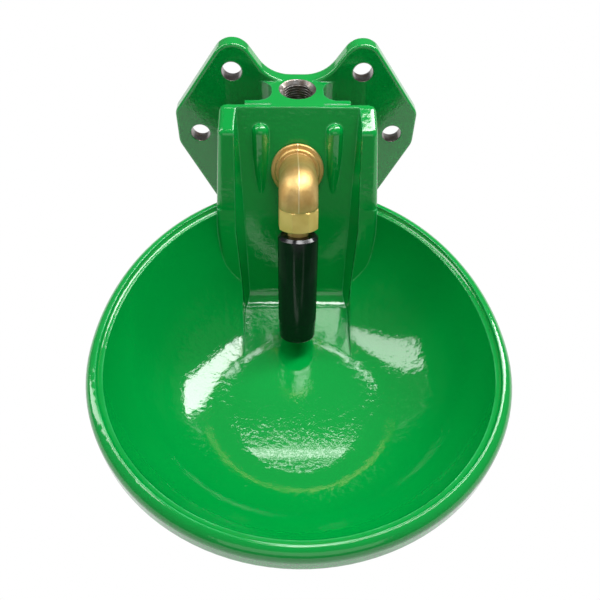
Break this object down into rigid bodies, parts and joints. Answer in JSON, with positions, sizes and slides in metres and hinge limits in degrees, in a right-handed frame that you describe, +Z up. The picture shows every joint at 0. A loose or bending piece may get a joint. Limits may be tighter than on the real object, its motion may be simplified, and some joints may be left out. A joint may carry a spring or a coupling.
{
  "type": "livestock drinking bowl",
  "caption": "Wall-mounted cast-iron drinking bowl for livestock: a brass elbow valve in a shielded recess opens when its black pipe is nudged.",
  "frame": {"origin": "in the wall plane, on the centre line, level with the two lower bolt holes", "axes": "+Z up, +Y into the wall, so the bowl stands in front of the wall towards -Y; +X to the right for someone facing the wall"},
  "size_m": [0.2258, 0.2939, 0.1551],
  "materials": {
    "enamelled_iron": "gloss green enamel",
    "cast_brass": "matte as cast",
    "turned_brass": "machined",
    "black_plastic": "gloss",
    "white_plastic": "satin",
    "rubber": "matte",
    "spring_steel": "drawn wire"
  },
  "bodies": {
    "bowl": {"bowl_casting": "enamelled_iron", "lower_plug_seal": "rubber", "lower_plug": "turned_brass", "port_gasket": "rubber", "valve_collar": "turned_brass", "valve_elbow": "cast_brass", "valve_nut": "turned_brass", "nut_seal": "rubber", "seat_ring": "white_plastic", "return_spring": "spring_steel"},
    "plunger": {"plunger": "turned_brass", "plunger_seal": "rubber"},
    "washer": {"thrust_washer": "white_plastic"},
    "pipe": {"pipe_stem": "turned_brass", "stem_o_ring": "rubber", "pipe_sleeve": "black_plastic", "end_cap": "black_plastic"}
  },
  "joints": [
    {"name": "pipe_fore_aft", "type": "hinge", "parent": "bowl", "child": "washer", "pos_m": [0, -0.09766, 0.00096], "axis": [1, 0, 0], "range_deg": [-7, 7], "stiffness_Nm_per_rad": 1.2},
    {"name": "pipe_sideways", "type": "hinge", "parent": "washer", "child": "pipe", "pos_m": [0, -0.09766, 0.00096], "axis": [0, 0.9272, -0.3746], "range_deg": [-7, 7], "stiffness_Nm_per_rad": 1.2},
    {"name": "plunger_lift", "type": "slide", "parent": "bowl", "child": "plunger", "axis": [0, 0.3746, 0.9272], "range_m": [0, 0.0015], "stiffness_N_per_m": 500, "deforming": ["return_spring"]}
  ]
}
